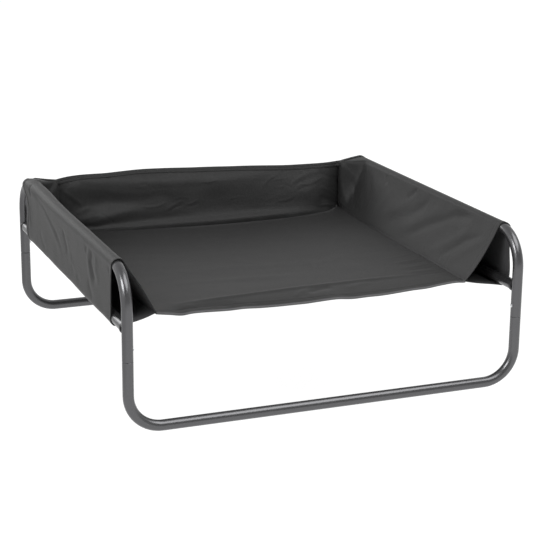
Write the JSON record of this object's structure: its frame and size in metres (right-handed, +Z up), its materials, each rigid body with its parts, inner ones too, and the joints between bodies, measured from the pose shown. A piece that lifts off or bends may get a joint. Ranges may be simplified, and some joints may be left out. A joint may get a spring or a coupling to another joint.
{
  "type": "raised dog cot",
  "caption": "Raised dog cot: tube frame with a cloth floor, sloping cloth side sleeves, a low back wall and an open front, on two pull-off U-shaped leg frames.",
  "frame": {"origin": "on the ground under the middle of the cot", "axes": "+X to the right across the open front, +Y from the front to the back wall, +Z up"},
  "size_m": [0.863, 0.86, 0.3345],
  "materials": {
    "coated_steel": "charcoal satin coating on steel tube",
    "cover_cloth": "dark grey woven polyester, coated on the back",
    "black_plastic": "moulded, fine grain",
    "plated_steel": "bright zinc plate",
    "spring_steel": "oiled spring strip"
  },
  "bodies": {
    "bed": {"left_side_frame": "coated_steel", "left_lower_rail": "coated_steel", "left_sleeve": "cover_cloth", "right_side_frame": "coated_steel", "right_lower_rail": "coated_steel", "right_sleeve": "cover_cloth", "front_left_rail_saddle": "black_plastic", "front_right_rail_saddle": "black_plastic", "rear_left_rail_saddle": "black_plastic", "rear_right_rail_saddle": "black_plastic", "floor_panel": "cover_cloth", "front_hem": "cover_cloth", "back_wall": "cover_cloth", "back_hem": "cover_cloth"},
    "front_legs": {"front_leg_frame": "coated_steel", "front_left_spring_leaf": "spring_steel", "front_right_spring_leaf": "spring_steel"},
    "front_left_button": {"front_left_snap_button": "plated_steel"},
    "front_right_button": {"front_right_snap_button": "plated_steel"},
    "rear_legs": {"rear_leg_frame": "coated_steel", "rear_left_spring_leaf": "spring_steel", "rear_right_spring_leaf": "spring_steel"},
    "rear_left_button": {"rear_left_snap_button": "plated_steel"},
    "rear_right_button": {"rear_right_snap_button": "plated_steel"}
  },
  "joints": [
    {"name": "front_legs_pull_off", "type": "slide", "parent": "bed", "child": "front_legs", "axis": [0, 0, -1], "range_m": [0, 0.09], "deforming": ["front_left_spring_leaf", "front_left_snap_button", "front_right_spring_leaf", "front_right_snap_button"]},
    {"name": "front_left_button_press", "type": "slide", "parent": "front_legs", "child": "front_left_button", "axis": [-1, 0, 0], "range_m": [0, 0.0033], "stiffness_N_per_m": 3000, "springref_m": -0.004, "deforming": ["front_left_spring_leaf"]},
    {"name": "front_right_button_press", "type": "slide", "parent": "front_legs", "child": "front_right_button", "axis": [1, 0, 0], "range_m": [0, 0.0033], "stiffness_N_per_m": 3000, "springref_m": -0.004, "deforming": ["front_right_spring_leaf"]},
    {"name": "rear_legs_pull_off", "type": "slide", "parent": "bed", "child": "rear_legs", "axis": [0, 0, -1], "range_m": [0, 0.09], "deforming": ["rear_left_spring_leaf", "rear_left_snap_button", "rear_right_spring_leaf", "rear_right_snap_button"]},
    {"name": "rear_left_button_press", "type": "slide", "parent": "rear_legs", "child": "rear_left_button", "axis": [-1, 0, 0], "range_m": [0, 0.0033], "stiffness_N_per_m": 3000, "springref_m": -0.004, "deforming": ["rear_left_spring_leaf"]},
    {"name": "rear_right_button_press", "type": "slide", "parent": "rear_legs", "child": "rear_right_button", "axis": [1, 0, 0], "range_m": [0, 0.0033], "stiffness_N_per_m": 3000, "springref_m": -0.004, "deforming": ["rear_right_spring_leaf"]}
  ]
}
